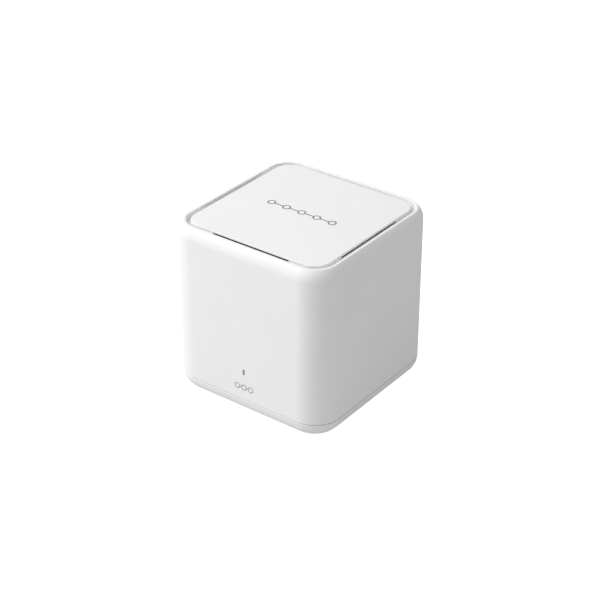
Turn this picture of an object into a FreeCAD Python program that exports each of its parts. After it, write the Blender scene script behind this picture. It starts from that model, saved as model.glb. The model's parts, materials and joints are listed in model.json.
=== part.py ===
import FreeCAD, Part
import math
import os
import re
import Sketcher

# A cube-shaped mesh router. Origin: centre of the footprint, on the table. +Z is up, the status
# light faces -Y and the sockets face +Y. Every size is in millimetres.

SIZES = {
    # how far a cutter runs past a face, and how far joined solids run into each other
    "overcut": 1,
    "root": 0.5,
    # enclosure
    "width": 88,
    "total_height": 88,
    "corner_radius": 14,
    "wall": 2,
    "top_round": 8,
    "lip_outer_half": 41.5,
    "lip_inner_half": 40.1,
    "groove_depth": 2,
    "ledge": 2,
    "air_opening": 56,
    "vent_slot_inner": 33.6,
    "vent_slot_outer": 38.2,
    "vent_slot_radius": 1,
    "foot_height": 1,
    "seam_height": 9,
    "seam_gap": 0.3,
    "base_round": 7.5,
    "base_wall": 2.2,
    "base_step": 6,
    "well_width": 77,
    "tongue_wall": 1.2,
    "tongue_top": 11.5,
    # top plate
    "plate_width": 76,
    "plate_radius": 8,
    "plate_thickness": 0.95,
    "plate_drop": 0.05,
    "plate_edge_round": 0.3,
    "skirt_inset": 0.3,
    "skirt_wall": 1.4,
    "vent_length": 42.5,
    "hook_along": 12,
    "hook_length": 6,
    "hook_wall": 1.9,
    "hook_reach": 1.6,
    "hook_tip": 0.9,
    "hook_gap": 0.2,
    # screw columns, feet and base
    "column_place": 30,
    "column_radius": 3.5,
    "column_start": 10,
    "column_hole": 1.2,
    "screw_radius": 1.15,
    "screw_length": 16,
    "screw_head_radius": 2.75,
    "screw_head_height": 2,
    "boss_radius": 5,
    "head_bore_radius": 3.1,
    "head_seat": 5.2,
    "screw_way_radius": 1.7,
    "foot_radius": 5.5,
    "foot_recess": 0.8,
    "foot_gap": 0.1,
    "foot_bevel": 0.4,
    "label_length": 44,
    "label_width": 22,
    "label_thickness": 0.15,
    "slot_length": 26,
    "slot_width": 1.6,
    "slot_pitch": 3.2,
    "slot_radius": 0.72,
    "slot_first": 18.5,
    # main board
    "board_width": 74,
    "board_length": 78,
    "board_radius": 8,
    "board_thickness": 1.6,
    "board_top": 15.6,
    "board_column_way": 4,
    "post_across": 31.5,
    "post_along": 12,
    "post_radius": 3,
    "post_hole": 0.9,
    "board_screw_way": 1.3,
    "board_screw_radius": 0.85,
    "board_screw_length": 9,
    "board_screw_head": 2.2,
    "board_screw_head_height": 1.5,
    # sockets
    "panel_width": 62,
    "panel_height": 21,
    "panel_depth": 0.8,
    "panel_radius": 3,
    "panel_height_centre": 22.4,
    "socket_face": 43,
    "jack_right": 17.8,
    "jack_left": 0.8,
    "jack_width": 16,
    "jack_depth": 15.2,
    "jack_height": 13.3,
    "jack_sheet": 0.25,
    "jack_gap": 0.05,
    "window_gap": 0.2,
    "window_margin": 0.9,
    "window_floor": 0.6,
    "socket_width": 11.9,
    "socket_height": 7,
    "socket_floor": 4.3,
    "socket_depth": 12.6,
    "latch_width": 6.4,
    "latch_floor": 2.6,
    "catch_width": 3.8,
    "catch_floor": 1.2,
    "contact_pitch": 1.02,
    "contact_width": 0.36,
    "contact_thickness": 0.3,
    "contact_length": 8.8,
    "contact_tilt": 15,
    "contact_start": 4.2,
    "contact_level": 8.8,
    "power_place": -14.7,
    "power_width": 9,
    "power_depth": 11,
    "power_height": 10.6,
    "power_face": 41.8,
    "power_axis": 6,
    "power_collar": 4,
    "power_bore": 3.1,
    "power_bore_depth": 9.4,
    "power_pin": 1,
    "power_pin_length": 8.4,
    "power_pin_tip": 0.5,
    "power_pin_gap": 0.02,
    "leaf_width": 2,
    "leaf_length": 6,
    "leaf_start": 0.6,
    "leaf_gap": 0.25,
    "leaf_thickness": 0.25,
    # reset key
    "key_place": -23,
    "key_axis": 2.2,
    "key_radius": 1.7,
    "key_bore": 1.8,
    "key_face": 42.9,
    "key_back": 41.6,
    "key_flange": 2.3,
    "key_flange_depth": 0.8,
    "key_dish": 0.2,
    "switch_width": 4.4,
    "switch_height": 4.4,
    "switch_depth": 3.4,
    "switch_face": 38.5,
    "switch_bore_depth": 2,
    "stem_radius": 0.9,
    "stem_bore": 0.95,
    "stem_back": 37.2,
    "dome_radius": 0.85,
    "dome_height": 0.5,
    "dome_sheet": 0.1,
    # status light
    "light_height": 24,
    "light_slit_width": 1.2,
    "light_slit_height": 3.2,
    "light_slit_radius": 0.55,
    "light_gap": 0.05,
    "guide_width": 3.2,
    "guide_low": 16.6,
    "guide_high": 26,
    "guide_back": -37.3,
    "lamp_place": -38,
    "lamp_width": 1.6,
    "lamp_depth": 0.8,
    "lamp_height": 0.7,
    # processor, memory, radio cans and cooling
    "chip_place": -4,
    "chip_width": 17,
    "chip_height": 1.2,
    "pad_width": 16,
    "pad_height": 1,
    "sink_width": 50,
    "sink_length": 38,
    "sink_place": -7,
    "sink_base": 2,
    "fin_height": 10,
    "fin_thickness": 1.2,
    "fin_count": 9,
    "fin_pitch": 5,
    "sink_screw_across": 22.8,
    "sink_screw_along": 16,
    "sink_screw_way": 1.2,
    "sink_screw_radius": 1,
    "sink_screw_length": 6.5,
    "sink_screw_head": 1.8,
    "sink_screw_head_height": 1.2,
    "can_inner": 9.5,
    "can_width": 14.5,
    "can_length": 20,
    "can_place": -6,
    "can_height": 1.9,
    "can_sheet": 0.3,
    # line transformers and smoothing capacitors
    "transformer_place": 21,
    "transformer_width": 12.5,
    "transformer_length": 8,
    "transformer_height": 3.6,
    "capacitor_place": 22,
    "capacitor_first": -13.6,
    "capacitor_second": -21,
    "capacitor_radius": 3.2,
    "capacitor_height": 8,
    # antennas
    "frame_half": 36,
    "frame_wall": 1.6,
    "frame_radius": 6,
    "frame_low": 34,
    "frame_high": 80,
    "leg_inner": 6,
    "leg_outer": 18,
    "foot_tab": 6.5,
    "foot_tab_thickness": 2,
    "frame_window": 22,
    "frame_window_height": 24,
    "frame_window_centre": 59,
    "antenna_width": 30,
    "antenna_height": 34,
    "antenna_thickness": 0.8,
    "antenna_drop": 3,
    "lead_radius": 0.56,
    "lead_top": 50,
    "plug_radius": 1.2,
    "plug_height": 1.3,
}

# plain blocks soldered on the board, each with its middle and its size in the columns' order
COLUMNS = ("x", "y", "width", "length", "height")
BLOCKS = {
    "memory_chip": (0, -19, 11, 8, 1),
    "flash_chip": (15, -21, 8, 5.2, 1.8),
    "crystal": (-13, -21, 3.2, 2.5, 0.8),
    "power_inductor": (-14, 15.5, 5, 5, 2.8),
}
for block_name, block_sizes in BLOCKS.items():
    SIZES.update({f"{block_name}_{column}": size for column, size in zip(COLUMNS, block_sizes)})

# each antenna lead: how far along its face it starts, where its plug is, the level it crosses at
LEADS = {
    "front": (12, (12, -31), 27),
    "back": (9.3, (9.3, 26.4), 31.5),
    "left": (-3, (-28.5, -3), 26),
    "right": (-3, (28.5, -3), 26),
}

AXIS = {
    "x": FreeCAD.Rotation(FreeCAD.Vector(0, 1, 0), 90),
    "y": FreeCAD.Rotation(FreeCAD.Vector(1, 0, 0), -90),
    "z": FreeCAD.Rotation(),
}
UP = FreeCAD.Vector(0, 0, 1)

doc = FreeCAD.newDocument("mesh_router")
sheet = doc.addObject("Spreadsheet::Sheet", "Sizes")
for row, (alias, size) in enumerate(SIZES.items(), 1):
    sheet.set(f"A{row}", alias)
    sheet.set(f"B{row}", str(size))
    sheet.setAlias(f"B{row}", alias)
doc.recompute()
nodes = []


def formula(text):
    """The text as an expression in which every size is read from the sheet."""
    return re.sub(r"[a-z_]+", lambda word: f"Sizes.{word[0]}" if word[0] in SIZES else word[0], text)


def value(text):
    """What the same text comes to in millimetres."""
    return float(sheet.evalExpression(text))


def bind(item, **texts):
    """Bind an object's properties to the sheet."""
    for name, text in texts.items():
        item.setExpression(name, formula(text))


def node(item, label):
    """Mark an object as a sub-part of the router, with its file's name."""
    item.Label = label
    nodes.append(item)
    return item


# ---- sketches and features of a PartDesign body ----

def new_body(label):
    return node(doc.addObject("PartDesign::Body", label), label)


def sketch_on(body, plane, x, y, z):
    """A sketch parallel to one of the body's own planes, with its origin at (x, y, z)."""
    sketch = body.newObject("Sketcher::SketchObject", "Sketch")
    support = [item for item in body.Origin.OriginFeatures if item.Role == plane][0]
    sketch.AttachmentSupport = [(support, "")]
    sketch.MapMode = "FlatFace"
    inside = {"XY_Plane": (x, y, z), "XZ_Plane": (x, z, f"-({y})"), "YZ_Plane": (y, z, x)}
    for axis, text in zip("xyz", inside[plane]):
        sketch.setExpression(f".AttachmentOffset.Base.{axis}", formula(text))
    return sketch


def constrain(sketch, kind, *where, size=None):
    """Add a constraint, bound to the sheet where it has a size."""
    if size is None:
        sketch.addConstraint(Sketcher.Constraint(kind, *where))
        return
    index = sketch.addConstraint(Sketcher.Constraint(kind, *where, value(size)))
    sketch.setExpression(f"Constraints[{index}]", formula(size))


def circle(sketch, radius):
    ring = sketch.addGeometry(Part.Circle(FreeCAD.Vector(), UP, value(radius)), False)
    constrain(sketch, "Coincident", ring, 3, -1, 1)
    constrain(sketch, "Radius", ring, size=radius)


def rounded_rectangle(sketch, across, along, radius):
    """A rectangle about the sketch's origin whose corners are quarter circles."""
    r = value(radius)
    w = value(across) / 2 - r
    d = value(along) / 2 - r
    arcs = []
    for turn, (x, y) in enumerate(((w, d), (-w, d), (-w, -d), (w, -d))):
        ring = Part.Circle(FreeCAD.Vector(x, y, 0), UP, r)
        arc = Part.ArcOfCircle(ring, turn * math.pi / 2, (turn + 1) * math.pi / 2)
        arcs.append(sketch.addGeometry(arc, False))
    for turn, arc in enumerate(arcs):
        following = arcs[(turn + 1) % 4]
        start = sketch.getPoint(arc, 2)
        end = sketch.getPoint(following, 1)
        line = sketch.addGeometry(Part.LineSegment(start, end), False)
        constrain(sketch, "Tangent", arc, 2, line, 1)
        constrain(sketch, "Tangent", line, 2, following, 1)
        constrain(sketch, "Vertical" if turn % 2 else "Horizontal", line)
    for arc in arcs[1:]:
        constrain(sketch, "Equal", arcs[0], arc)
    constrain(sketch, "Symmetric", arcs[0], 3, arcs[2], 3, -1, 1)
    constrain(sketch, "Radius", arcs[0], size=radius)
    constrain(sketch, "DistanceX", arcs[1], 3, arcs[0], 3, size=f"{across} - 2 * ({radius})")
    constrain(sketch, "DistanceY", arcs[3], 3, arcs[0], 3, size=f"{along} - 2 * ({radius})")


def rectangle(sketch, across, along):
    """A plain rectangle about the sketch's origin."""
    w = value(across) / 2
    d = value(along) / 2
    corners = [FreeCAD.Vector(x, y, 0) for x, y in ((w, d), (-w, d), (-w, -d), (w, -d))]
    lines = []
    for turn in range(4):
        side = Part.LineSegment(corners[turn], corners[(turn + 1) % 4])
        lines.append(sketch.addGeometry(side, False))
    for turn in range(4):
        constrain(sketch, "Coincident", lines[turn], 2, lines[(turn + 1) % 4], 1)
        constrain(sketch, "Vertical" if turn % 2 else "Horizontal", lines[turn])
    constrain(sketch, "Symmetric", lines[0], 1, lines[2], 1, -1, 1)
    constrain(sketch, "DistanceX", lines[0], 2, lines[0], 1, size=across)
    constrain(sketch, "DistanceY", lines[1], 2, lines[1], 1, size=along)


def extrude(body, sketch, length, cut=False, backwards=False):
    """Pad or pocket a sketch, and make sure that the body grew or shrank."""
    before = body.Shape.Volume if body.Tip else 0
    feature = body.newObject("PartDesign::Pocket" if cut else "PartDesign::Pad", "Step")
    feature.Profile = sketch
    feature.Reversed = backwards
    bind(feature, Length=length)
    doc.recompute()
    change = body.Shape.Volume - before
    if (change >= 0) if cut else (change <= 0):
        raise RuntimeError(f"{body.Label}: {sketch.Name} changed the volume by {change}")
    return feature


def dress(body, kind, size, chosen):
    """Fillet or chamfer the edges of the body that the test chooses."""
    base = body.Tip
    edges = [f"Edge{i}" for i, edge in enumerate(base.Shape.Edges, 1) if chosen(edge)]
    feature = body.newObject(f"PartDesign::{kind}", kind)
    feature.Base = (base, edges)
    bind(feature, **{"Radius" if kind == "Fillet" else "Size": size})
    doc.recompute()
    return feature


def at_height(z):
    """A test for level edges at one height."""
    level = value(z)
    return lambda edge: abs(edge.BoundBox.ZMin - level) < 1e-4 and abs(edge.BoundBox.ZMax - level) < 1e-4


def four_fold(body, features):
    """Repeat features at the four corners, round the vertical axis."""
    pattern = body.newObject("PartDesign::PolarPattern", "FourFold")
    pattern.Originals = features
    axis = [item for item in body.Origin.OriginFeatures if item.Role == "Z_Axis"][0]
    pattern.Axis = (axis, [""])
    pattern.Angle = 360
    pattern.Occurrences = 4
    body.Tip = pattern
    doc.recompute()


# ---- primitives and booleans ----

def box(low, high):
    item = doc.addObject("Part::Box", "Box")
    spans = [f"({b}) - ({a})" for a, b in zip(low, high)]
    bind(item, Length=spans[0], Width=spans[1], Height=spans[2])
    for axis, text in zip("xyz", low):
        item.setExpression(f".Placement.Base.{axis}", formula(text))
    return item


def centred_box(x, y, z, across, along, tall):
    """A box that stands on height z, centred on (x, y)."""
    low = (f"{x} - {across} / 2", f"{y} - {along} / 2", z)
    high = (f"{x} + {across} / 2", f"{y} + {along} / 2", f"{z} + {tall}")
    return box(low, high)


def rod(x, y, z, radius, length, axis="z", far_radius=None):
    """A cylinder, or a cone where the far radius differs, from (x, y, z) along an axis."""
    if far_radius is None:
        item = doc.addObject("Part::Cylinder", "Rod")
        bind(item, Radius=radius)
    else:
        item = doc.addObject("Part::Cone", "Taper")
        bind(item, Radius1=radius, Radius2=far_radius)
    bind(item, Height=length)
    item.Placement = FreeCAD.Placement(FreeCAD.Vector(), AXIS[axis])
    for letter, text in zip("xyz", (x, y, z)):
        item.setExpression(f".Placement.Base.{letter}", formula(text))
    return item


def fuse(*items):
    item = doc.addObject("Part::MultiFuse", "Fuse")
    item.Shapes = list(items)
    return item


def cut(base, *tools):
    item = doc.addObject("Part::Cut", "Cut")
    item.Base = base
    item.Tool = tools[0] if len(tools) == 1 else fuse(*tools)
    return item


def group(*items):
    """Separate solids that share one node."""
    item = doc.addObject("Part::Compound", "Group")
    item.Links = list(items)
    return item


def screw(x, y, z, radius, length, head_radius, head_height, down=True):
    """A pan-head screw whose head rests on height z, with a crossed recess in the head."""
    low = f"{z} - {length}" if down else z
    head = z if down else f"{z} - {head_height}"
    face = f"{z} + {head_height} / 2" if down else f"{z} - {head_height}"
    bars = []
    for across, along in ((head_radius, f"{head_radius} / 4"), (f"{head_radius} / 4", head_radius)):
        bars.append(centred_box(x, y, face, across, along, f"{head_height} / 2"))
    body = fuse(rod(x, y, low, radius, length), rod(x, y, head, head_radius, head_height))
    return cut(body, *bars)


def corners(text_x, text_y):
    """The four places (+-x, +-y), as text."""
    return [(f"{a}({text_x})", f"{b}({text_y})") for a in ("", "-") for b in ("", "-")]


# ---- enclosure ----

def outer_shell():
    """The white body: a rounded box whose rounded top edge stops at a lip round the sunk top plate."""
    body = new_body("outer_shell")
    low = "seam_height + seam_gap / 2"
    # the top rounding is a quarter circle that the lip cuts off, so the block starts out taller
    rise = "sqrt(top_round ^ 2 - (lip_outer_half - width / 2 + top_round) ^ 2)"
    crest = f"total_height - {rise} + top_round"
    block = sketch_on(body, "XY_Plane", "0", "0", low)
    rounded_rectangle(block, "width", "width", "corner_radius")
    extrude(body, block, f"{crest} - ({low})")
    dress(body, "Fillet", "top_round", at_height(crest))
    crown = sketch_on(body, "XY_Plane", "0", "0", "total_height")
    rectangle(crown, "width + wall", "width + wall")
    extrude(body, crown, f"{crest} - total_height + wall", cut=True, backwards=True)
    groove = sketch_on(body, "XY_Plane", "0", "0", "total_height")
    inner = "corner_radius - width / 2 + lip_inner_half"
    rounded_rectangle(groove, "2 * lip_inner_half", "2 * lip_inner_half", inner)
    extrude(body, groove, "groove_depth", cut=True)
    hollow = sketch_on(body, "XY_Plane", "0", "0", low)
    rounded_rectangle(hollow, "width - 2 * wall", "width - 2 * wall", "corner_radius - wall")
    ledge_low = "total_height - groove_depth - ledge"
    extrude(body, hollow, f"{ledge_low} - ({low})", cut=True, backwards=True)
    air = sketch_on(body, "XY_Plane", "0", "0", "total_height - groove_depth")
    rounded_rectangle(air, "air_opening", "air_opening", "plate_radius")
    extrude(body, air, "ledge + wall", cut=True)
    place = "(vent_slot_inner + vent_slot_outer) / 2"
    vent = sketch_on(body, "XY_Plane", place, "0", "total_height - groove_depth")
    rounded_rectangle(vent, "vent_slot_outer - vent_slot_inner", "vent_length", "vent_slot_radius")
    vent_cut = extrude(body, vent, "ledge + wall", cut=True)
    column = sketch_on(body, "XY_Plane", "column_place", "column_place", "column_start")
    circle(column, "column_radius")
    column_pad = extrude(body, column, f"{ledge_low} - column_start + ledge / 2")
    pilot = sketch_on(body, "XY_Plane", "column_place", "column_place", "column_start")
    circle(pilot, "column_hole")
    pilot_cut = extrude(body, pilot, "screw_length", cut=True, backwards=True)
    four_fold(body, [vent_cut, column_pad, pilot_cut])

    front = "-width / 2"
    slit = sketch_on(body, "XZ_Plane", "0", front, "light_height")
    rounded_rectangle(slit, "light_slit_width", "light_slit_height", "light_slit_radius")
    extrude(body, slit, "wall + overcut", cut=True)
    back = "width / 2"
    panel = sketch_on(body, "XZ_Plane", "0", back, "panel_height_centre")
    rounded_rectangle(panel, "panel_width", "panel_height", "panel_radius")
    extrude(body, panel, "panel_depth", cut=True, backwards=True)
    for place in ("jack_left", "jack_right"):
        window = sketch_on(body, "XZ_Plane", place, back, "board_top + jack_height / 2")
        span = "jack_width + 2 * window_gap"
        rise = "jack_height + 2 * window_gap"
        rounded_rectangle(window, span, rise, "window_gap")
        extrude(body, window, "wall + overcut", cut=True, backwards=True)
    power = sketch_on(body, "XZ_Plane", "power_place", back, "board_top + power_axis")
    circle(power, "power_collar + window_gap")
    extrude(body, power, "wall + overcut", cut=True, backwards=True)
    key = sketch_on(body, "XZ_Plane", "key_place", back, "board_top + key_axis")
    circle(key, "key_bore")
    extrude(body, key, "wall + overcut", cut=True, backwards=True)


def base_cover():
    """The shallow dish that closes the bottom, with screw bosses, board posts and air slots."""
    body = new_body("base_cover")
    top = "seam_height - seam_gap / 2"
    dish = sketch_on(body, "XY_Plane", "0", "0", "foot_height")
    rounded_rectangle(dish, "width", "width", "corner_radius")
    extrude(body, dish, f"{top} - foot_height")
    dress(body, "Fillet", "base_round", at_height("foot_height"))
    floor = "foot_height + base_wall"
    outer = "width - 2 * base_wall"
    room = sketch_on(body, "XY_Plane", "0", "0", top)
    rounded_rectangle(room, outer, outer, "corner_radius - base_wall")
    extrude(body, room, f"{top} - base_step", cut=True)
    # the floor is smaller than the room above it, so that the rounded outer edge keeps its wall
    well = sketch_on(body, "XY_Plane", "0", "0", "base_step")
    rounded_rectangle(well, "well_width", "well_width", "corner_radius - (width - well_width) / 2")
    extrude(body, well, f"base_step - ({floor})", cut=True)
    ring = sketch_on(body, "XY_Plane", "0", "0", "base_step")
    rounded_rectangle(ring, outer, outer, "corner_radius - base_wall")
    inner = f"{outer} - 2 * tongue_wall"
    rounded_rectangle(ring, inner, inner, "corner_radius - base_wall - tongue_wall")
    extrude(body, ring, "tongue_top - base_step")

    corner = ("column_place", "column_place")
    boss = sketch_on(body, "XY_Plane", *corner, f"{floor} - root")
    circle(boss, "boss_radius")
    boss_pad = extrude(body, boss, f"column_start - ({floor}) + root")
    foot = sketch_on(body, "XY_Plane", *corner, "foot_height")
    circle(foot, "foot_radius + foot_gap")
    foot_cut = extrude(body, foot, "foot_recess", cut=True, backwards=True)
    seat = sketch_on(body, "XY_Plane", *corner, "foot_height")
    circle(seat, "head_bore_radius")
    seat_cut = extrude(body, seat, "head_seat - foot_height", cut=True, backwards=True)
    way = sketch_on(body, "XY_Plane", *corner, "foot_height")
    circle(way, "screw_way_radius")
    way_cut = extrude(body, way, "column_start", cut=True, backwards=True)
    four_fold(body, [boss_pad, foot_cut, seat_cut, way_cut])

    for x, y in corners("post_across", "post_along"):
        post = sketch_on(body, "XY_Plane", x, y, f"{floor} - root")
        circle(post, "post_radius")
        extrude(body, post, f"board_top - board_thickness - ({floor}) + root")
        hole = sketch_on(body, "XY_Plane", x, y, "board_top - board_thickness")
        circle(hole, "post_hole")
        extrude(body, hole, "board_screw_length", cut=True)
    for side in (1, -1):
        for turn in range(4):
            place = f"{side} * (slot_first + {turn} * slot_pitch)"
            slot = sketch_on(body, "XY_Plane", "0", place, "foot_height")
            rounded_rectangle(slot, "slot_length", "slot_width", "slot_radius")
            extrude(body, slot, "base_wall + overcut", cut=True, backwards=True)


def top_plate():
    """The square plate in the top, on corner skirts that leave an air gap along each side."""
    body = new_body("top_plate")
    low = "total_height - plate_drop - plate_thickness"
    plate = sketch_on(body, "XY_Plane", "0", "0", low)
    rounded_rectangle(plate, "plate_width", "plate_width", "plate_radius")
    extrude(body, plate, "plate_thickness")
    dress(body, "Fillet", "plate_edge_round", at_height("total_height - plate_drop"))
    ledge = "total_height - groove_depth"
    skirt = sketch_on(body, "XY_Plane", "0", "0", ledge)
    outer = "plate_width - 2 * skirt_inset"
    rounded_rectangle(skirt, outer, outer, "plate_radius - skirt_inset")
    inner = f"{outer} - 2 * skirt_wall"
    rounded_rectangle(skirt, inner, inner, "plate_radius - skirt_inset - skirt_wall")
    extrude(body, skirt, f"{low} - ({ledge})")
    middle = f"({low} + {ledge}) / 2"
    for plane, x, y in (("XZ_Plane", "0", "-width / 2"), ("YZ_Plane", "width / 2", "0")):
        vent = sketch_on(body, plane, x, y, middle)
        rectangle(vent, "vent_length", f"{low} - ({ledge})")
        extrude(body, vent, "width", cut=True)
    tip = f"{ledge} - ledge - hook_gap - hook_tip"
    out = "air_opening / 2 - hook_gap"
    post = sketch_on(body, "XY_Plane", f"{out} - hook_wall / 2", "hook_along", tip)
    rectangle(post, "hook_wall", "hook_length")
    post_pad = extrude(body, post, f"{low} - ({tip})")
    hook = sketch_on(body, "XY_Plane", f"{out} + hook_reach / 2", "hook_along", tip)
    rectangle(hook, "hook_reach", "hook_length")
    hook_pad = extrude(body, hook, "hook_tip")
    four_fold(body, [post_pad, hook_pad])


def feet_and_fasteners():
    """Rubber feet over the base screws, and the screws that hold the board and its frame."""
    feet = []
    screws = []
    for x, y in corners("column_place", "column_place"):
        pad = rod(x, y, "foot_bevel", "foot_radius", "foot_height + foot_recess - foot_bevel")
        bevel = rod(x, y, "0", "foot_radius - foot_bevel", "foot_bevel", far_radius="foot_radius")
        feet.append(fuse(pad, bevel))
        screws.append(screw(x, y, "head_seat", "screw_radius", "screw_length",
                            "screw_head_radius", "screw_head_height", down=False))
    node(group(*feet), "rubber_feet")
    node(group(*screws), "base_screws")
    screws = []
    for x, y in corners("post_across", "post_along"):
        screws.append(screw(x, y, "board_top + foot_tab_thickness", "board_screw_radius",
                            "board_screw_length", "board_screw_head", "board_screw_head_height"))
    node(group(*screws), "board_screws")


def rating_label():
    label = centred_box("0", "0", "foot_height - label_thickness",
                        "label_length", "label_width", "label_thickness")
    node(label, "rating_label")


# ---- board and what stands on it ----

def main_board():
    body = new_body("main_board")
    low = "board_top - board_thickness"
    outline = sketch_on(body, "XY_Plane", "0", "0", low)
    rounded_rectangle(outline, "board_width", "board_length", "board_radius")
    extrude(body, outline, "board_thickness")
    ways = [(x, y, "board_column_way") for x, y in corners("column_place", "column_place")]
    ways += [(x, y, "board_screw_way") for x, y in corners("post_across", "post_along")]
    ways += [(f"{side} * sink_screw_across", f"sink_place - {side} * sink_screw_along",
              "sink_screw_way") for side in (1, -1)]
    for x, y, radius in ways:
        hole = sketch_on(body, "XY_Plane", x, y, "board_top")
        circle(hole, radius)
        extrude(body, hole, "board_thickness + overcut", cut=True)


def chips():
    """The processor with its soft pad, and the blocks that are soldered beside it."""
    soc = centred_box("0", "chip_place", "board_top", "chip_width", "chip_width", "chip_height")
    node(soc, "processor_chip")
    pad_low = "board_top + chip_height"
    pad = centred_box("0", "chip_place", pad_low, "pad_width", "pad_width", "pad_height")
    node(pad, "thermal_pad")
    for label in BLOCKS:
        x, y, across, along, tall = [f"{label}_{column}" for column in COLUMNS]
        node(centred_box(x, y, "board_top", across, along, tall), label)
    for side in ("left", "right"):
        coil = centred_box(f"jack_{side}", "transformer_place", "board_top", "transformer_width",
                           "transformer_length", "transformer_height")
        node(coil, f"line_transformer_{side}")
    cans = [rod(x, "capacitor_place", "board_top", "capacitor_radius", "capacitor_height")
            for x in ("capacitor_first", "capacitor_second")]
    node(group(*cans), "supply_capacitors")
    node(centred_box("0", "lamp_place", "board_top", "lamp_width", "lamp_depth", "lamp_height"),
         "status_lamp")


def shield_cans():
    """Tin lids over the two radios, open underneath."""
    for label, side in (("radio_can_left", "-1"), ("radio_can_right", "1")):
        x = f"{side} * (can_inner + can_width / 2)"
        lid = centred_box(x, "can_place", "board_top", "can_width", "can_length", "can_height")
        room = centred_box(x, "can_place", "board_top", "(can_width - 2 * can_sheet)",
                           "(can_length - 2 * can_sheet)", "(can_height - can_sheet)")
        node(cut(lid, room), label)


def heatsink():
    """An aluminium plate with upright fins, screwed down over the processor."""
    body = new_body("heatsink")
    low = "board_top + chip_height + pad_height"
    plate = sketch_on(body, "XY_Plane", "0", "sink_place", low)
    rectangle(plate, "sink_width", "sink_length")
    extrude(body, plate, "sink_base")
    first = "-(fin_count - 1) / 2 * fin_pitch"
    fin = sketch_on(body, "XY_Plane", first, "sink_place", f"{low} + sink_base")
    rectangle(fin, "fin_thickness", "sink_length")
    fin_pad = extrude(body, fin, "fin_height")
    row = body.newObject("PartDesign::LinearPattern", "Fins")
    row.Originals = [fin_pad]
    row.Direction = (fin, ["H_Axis"])
    bind(row, Length="(fin_count - 1) * fin_pitch", Occurrences="fin_count")
    body.Tip = row
    doc.recompute()
    screws = []
    for side in (1, -1):
        x = f"{side} * sink_screw_across"
        y = f"sink_place - {side} * sink_screw_along"
        hole = sketch_on(body, "XY_Plane", x, y, f"{low} + sink_base")
        circle(hole, "sink_screw_way")
        extrude(body, hole, "sink_base + overcut", cut=True)
        screws.append(screw(x, y, f"{low} + sink_base", "sink_screw_radius", "sink_screw_length",
                            "sink_screw_head", "sink_screw_head_height"))
    node(group(*screws), "heatsink_screws")


# ---- sockets ----

def ethernet_jack(side):
    """A shielded socket: tin cover, plastic insert with the stepped plug way, eight sprung wires."""
    x = f"jack_{side}"
    back = "socket_face - jack_depth"

    def slab(half, near, far, bottom, top):
        low = (f"{x} - ({half})", f"socket_face - ({far})", f"board_top + {bottom}")
        high = (f"{x} + ({half})", f"socket_face - ({near})", f"board_top + {top}")
        return box(low, high)

    cover = slab("jack_width / 2", "0", "jack_depth", "0", "jack_height")
    room = slab("jack_width / 2 - jack_sheet", "jack_sheet", "jack_depth - jack_sheet",
                "0", "jack_height - jack_sheet")
    window = slab("socket_width / 2 + window_margin", "-overcut", "overcut", "window_floor",
                  "socket_floor + socket_height + window_margin")
    node(cut(cover, room, window), f"ethernet_cover_{side}")
    block = slab("jack_width / 2 - jack_sheet - jack_gap", "jack_sheet + jack_gap",
                 "jack_depth - jack_sheet - jack_gap", "0", "jack_height - jack_sheet - jack_gap")
    way = slab("socket_width / 2", "0", "socket_depth", "socket_floor",
               "socket_floor + socket_height")
    latch = slab("latch_width / 2", "0", "socket_depth", "latch_floor", "socket_floor + overcut")
    catch = slab("catch_width / 2", "0", "socket_depth", "catch_floor", "latch_floor + overcut")
    node(cut(block, way, latch, catch), f"ethernet_insert_{side}")
    wires = []
    for turn in range(8):
        place = f"{x} + ({turn} - 3.5) * contact_pitch"
        wire = doc.addObject("Part::Box", "Wire")
        bind(wire, Length="contact_width", Width="contact_length", Height="contact_thickness")
        tilt = FreeCAD.Rotation(FreeCAD.Vector(1, 0, 0), value("contact_tilt"))
        wire.Placement = FreeCAD.Placement(FreeCAD.Vector(), tilt)
        wire.setExpression(".Placement.Base.x", formula(f"{place} - contact_width / 2"))
        wire.setExpression(".Placement.Base.y", formula(f"{back} + contact_start"))
        wire.setExpression(".Placement.Base.z", formula("board_top + contact_level"))
        wires.append(wire)
    node(group(*wires), f"ethernet_contacts_{side}")


def power_jack():
    """A round low-voltage inlet: block with a collar, centre pin and a leaf that grips the plug."""
    x = "power_place"
    z = "board_top + power_axis"
    back = "power_face - power_depth"
    low = (f"{x} - power_width / 2", back, "board_top")
    high = (f"{x} + power_width / 2", "power_face", "board_top + power_height")
    collar = rod(x, "power_face - root", z, "power_collar", "socket_face - power_face + root", axis="y")
    floor = "socket_face - power_bore_depth"
    bore = rod(x, floor, z, "power_bore", "power_bore_depth + overcut", axis="y")
    tail_hole = rod(x, f"{back} - overcut", z, "power_pin / 2 + power_pin_gap", "power_depth", axis="y")
    node(cut(fuse(box(low, high), collar), bore, tail_hole), "power_jack_body")
    tail = rod(x, back, z, "power_pin / 2", f"{floor} - ({back})", axis="y")
    shaft = rod(x, floor, z, "power_pin", "power_pin_length - power_pin_tip", axis="y")
    tip = rod(x, f"{floor} + power_pin_length - power_pin_tip", z, "power_pin", "power_pin_tip",
              axis="y", far_radius="power_pin / 2")
    node(fuse(tail, shaft, tip), "power_jack_pin")
    leaf = centred_box(x, f"{floor} + leaf_start + leaf_length / 2", f"{z} - power_bore + leaf_gap",
                       "leaf_width", "leaf_length", "leaf_thickness")
    node(leaf, "power_jack_leaf")


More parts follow.
